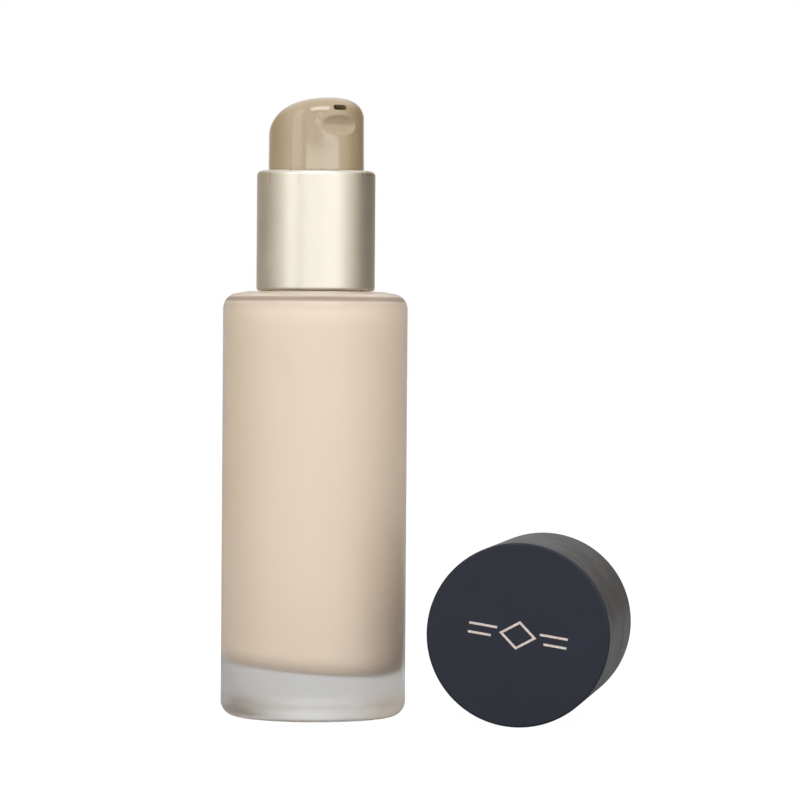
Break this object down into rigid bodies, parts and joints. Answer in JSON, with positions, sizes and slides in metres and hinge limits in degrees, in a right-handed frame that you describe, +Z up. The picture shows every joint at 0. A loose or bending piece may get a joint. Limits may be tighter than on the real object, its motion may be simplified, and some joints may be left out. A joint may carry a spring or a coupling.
{
  "type": "foundation bottle",
  "caption": "Cylindrical frosted glass cosmetic bottle with a metal-collared treatment pump, slot-nozzle press button and a separate deep round cap lying beside it.",
  "frame": {"origin": "centre of the bottle's flat base, on the bottle's axis; the loose cap lies beside the bottle, so the origin is not the centre of the whole row's box", "axes": "+Z up along the bottle's axis; -Y is the side the cap's closed end faces; the nozzle points 60 degrees clockwise from +X, seen from above"},
  "size_m": [0.0764, 0.044, 0.1135],
  "materials": {
    "frosted_glass": "acid-frosted outside, clear through the thick base",
    "foundation": "opaque beige cream liquid",
    "natural_plastic": "natural polypropylene",
    "white_plastic": "white polypropylene",
    "gasket_rubber": "soft polyethylene foam and elastomer seals",
    "spring_steel": "stainless wire and ball",
    "champagne_metal": "satin champagne-gold anodised",
    "tan_plastic": "glossy tan",
    "cap_black": "satin blue-black, soft sheen on the side",
    "liner_plastic": "black polypropylene"
  },
  "bodies": {
    "bottle": {"glass_bottle": "frosted_glass", "foundation_fill": "foundation"},
    "pump": {"pump_housing": "natural_plastic", "neck_gasket": "gasket_rubber", "dip_tube": "natural_plastic", "stem_guide": "white_plastic", "stem_seal": "gasket_rubber", "return_spring": "spring_steel"},
    "closure": {"screw_closure": "white_plastic", "collar_sleeve": "champagne_metal"},
    "ball": {"check_ball": "spring_steel"},
    "piston": {"piston": "natural_plastic"},
    "stem": {"stem": "white_plastic", "piston_seat": "white_plastic"},
    "actuator": {"actuator_button": "tan_plastic", "actuator_insert": "white_plastic"},
    "cap": {"cap_shell": "cap_black", "cap_liner": "liner_plastic"}
  },
  "joints": [
    {"name": "pump_lift", "type": "slide", "parent": "bottle", "child": "pump", "axis": [0, 0, 1], "range_m": [0, 0.00397]},
    {"name": "closure_turn", "type": "hinge", "parent": "pump", "child": "closure", "pos_m": [0, 0, 0.085], "axis": [0, 0, 1], "range_deg": [0, 450]},
    {"name": "pump_press", "type": "slide", "parent": "pump", "child": "stem", "axis": [0, 0, -1], "range_m": [0, 0.004], "stiffness_N_per_m": 900, "springref_m": -0.0028, "deforming": ["return_spring"]},
    {"name": "piston_slide", "type": "slide", "parent": "pump", "child": "piston", "axis": [0, 0, -1], "range_m": [0, 0.0036]},
    {"name": "ball_lift", "type": "slide", "parent": "pump", "child": "ball", "axis": [0, 0, 1], "range_m": [0, 0.001]},
    {"name": "button_turn", "type": "hinge", "parent": "stem", "child": "actuator", "pos_m": [0, 0, 0.103], "axis": [0, 0, 1], "continuous": true},
    {"name": "cap_tip", "type": "hinge", "parent": "bottle", "child": "cap", "pos_m": [0.04311, 0.01723, 0], "axis": [-0.9882, 0.153, 0], "range_deg": [0, 90]}
  ],
  "couplings": [
    {"joint": "pump_lift", "follows": "closure_turn", "m_per_rad": 0.00050532},
    {"joint": "piston_slide", "follows": "pump_press", "ratio": 0.9}
  ]
}
